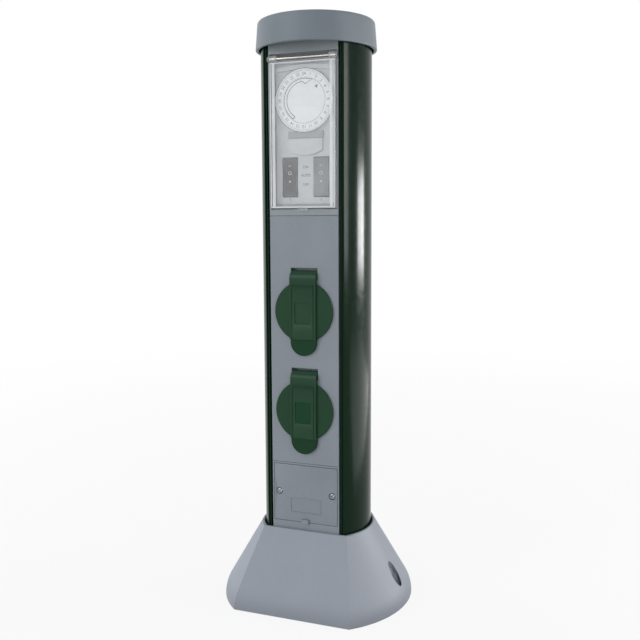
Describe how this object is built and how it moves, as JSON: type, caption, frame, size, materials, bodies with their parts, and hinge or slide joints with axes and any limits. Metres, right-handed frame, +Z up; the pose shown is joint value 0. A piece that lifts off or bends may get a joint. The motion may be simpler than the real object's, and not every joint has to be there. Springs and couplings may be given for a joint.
{
  "type": "timer socket",
  "caption": "Garden power column: flared foot, round cap, hinged clear window over a day dial and rocker switches, hinged round socket lids and a screwed terminal cover.",
  "frame": {"origin": "on the floor under the column's axis", "axes": "+Z up along the column, front panel, dial and lids towards -Y, +X to the right seen from the front"},
  "size_m": [0.1668, 0.1352, 0.498],
  "materials": {
    "foot_plastic": "fine textured grey",
    "base_black": "matt",
    "zinc": "zinc plated",
    "dark_green": "glossy dark green",
    "grey_plastic": "satin moulded grey",
    "cap_plastic": "satin moulded grey",
    "bright_steel": "bright",
    "black_rubber": "matt",
    "dial_white": "satin white",
    "brass": "bright",
    "housing_black": "matt",
    "lid_green": "satin green",
    "socket_grey": "satin grey",
    "fascia_grey": "satin light grey",
    "tappet_white": "satin white",
    "disc_white": "satin white",
    "rocker_black": "satin dark grey",
    "clear_plastic": "clear moulded, slightly milky",
    "white_rubber": "matt",
    "wire_brown": "pvc",
    "wire_blue": "pvc",
    "wire_green": "pvc",
    "wire_black": "pvc"
  },
  "bodies": {
    "column": {"foot": "foot_plastic", "base_plate": "base_black", "base_screws": "zinc", "foot_screws": "zinc", "left_side_shell": "dark_green", "right_side_shell": "dark_green", "rear_panel": "grey_plastic", "rear_screws": "zinc", "cap": "cap_plastic", "cap_screw": "zinc", "terminal_frame": "grey_plastic", "terminal_cover": "grey_plastic", "cover_screws": "bright_steel", "cover_seal": "black_rubber", "terminal_block": "dial_white", "terminal_screws": "brass", "cable_grommet": "black_rubber", "cord_clamp": "housing_black", "clamp_screws": "zinc", "socket_panel": "grey_plastic", "upper_lid_pin": "bright_steel", "upper_lid_spring": "bright_steel", "upper_lid_seal": "black_rubber", "upper_socket_insert": "socket_grey", "upper_contacts": "brass", "upper_earth_clips": "brass", "lower_lid_pin": "bright_steel", "lower_lid_spring": "bright_steel", "lower_lid_seal": "black_rubber", "lower_socket_insert": "socket_grey", "lower_contacts": "brass", "lower_earth_clips": "brass", "timer_frame": "grey_plastic", "timer_fascia": "fascia_grey", "timer_housing": "housing_black", "centre_disc": "disc_white", "timer_motor": "zinc", "left_switch_body": "housing_black", "right_switch_body": "housing_black", "window_rod": "bright_steel", "window_seal": "white_rubber", "live_feed": "wire_brown", "neutral_wire": "wire_blue", "earth_wire": "wire_green", "upper_switched_live": "wire_black", "lower_switched_live": "wire_black"},
    "upper_lid": {"upper_lid": "lid_green"},
    "lower_lid": {"lower_lid": "lid_green"},
    "window": {"window": "clear_plastic"},
    "hour_ring": {"hour_ring": "dial_white", "tappets": "tappet_white"},
    "drive_pinion": {"drive_pinion": "brass"},
    "left_rocker": {"left_rocker": "rocker_black"},
    "right_rocker": {"right_rocker": "rocker_black"}
  },
  "joints": [
    {"name": "window_hinge", "type": "hinge", "parent": "column", "child": "window", "pos_m": [0, -0.0316, 0.4635], "axis": [-1, 0, 0], "range_deg": [0, 105]},
    {"name": "upper_lid_hinge", "type": "hinge", "parent": "column", "child": "upper_lid", "pos_m": [0, -0.0295, 0.287], "axis": [-1, 0, 0], "range_deg": [0, 95], "stiffness_Nm_per_rad": 0.012, "springref_deg": -22.92},
    {"name": "lower_lid_hinge", "type": "hinge", "parent": "column", "child": "lower_lid", "pos_m": [0, -0.0295, 0.2019], "axis": [-1, 0, 0], "range_deg": [0, 95], "stiffness_Nm_per_rad": 0.012, "springref_deg": -22.92},
    {"name": "hour_ring_turn", "type": "hinge", "parent": "column", "child": "hour_ring", "pos_m": [0, -0.025, 0.4296], "axis": [0, 1, 0], "continuous": true},
    {"name": "drive_pinion_turn", "type": "hinge", "parent": "column", "child": "drive_pinion", "pos_m": [0, -0.019, 0.4056], "axis": [0, 1, 0], "continuous": true},
    {"name": "left_rocker_tilt", "type": "hinge", "parent": "column", "child": "left_rocker", "pos_m": [-0.0139, -0.0221, 0.3674], "axis": [1, 0, 0], "range_deg": [-10, 10]},
    {"name": "right_rocker_tilt", "type": "hinge", "parent": "column", "child": "right_rocker", "pos_m": [0.0139, -0.0221, 0.3674], "axis": [1, 0, 0], "range_deg": [-10, 10]}
  ],
  "couplings": [
    {"joint": "drive_pinion_turn", "follows": "hour_ring_turn", "ratio": -4}
  ]
}
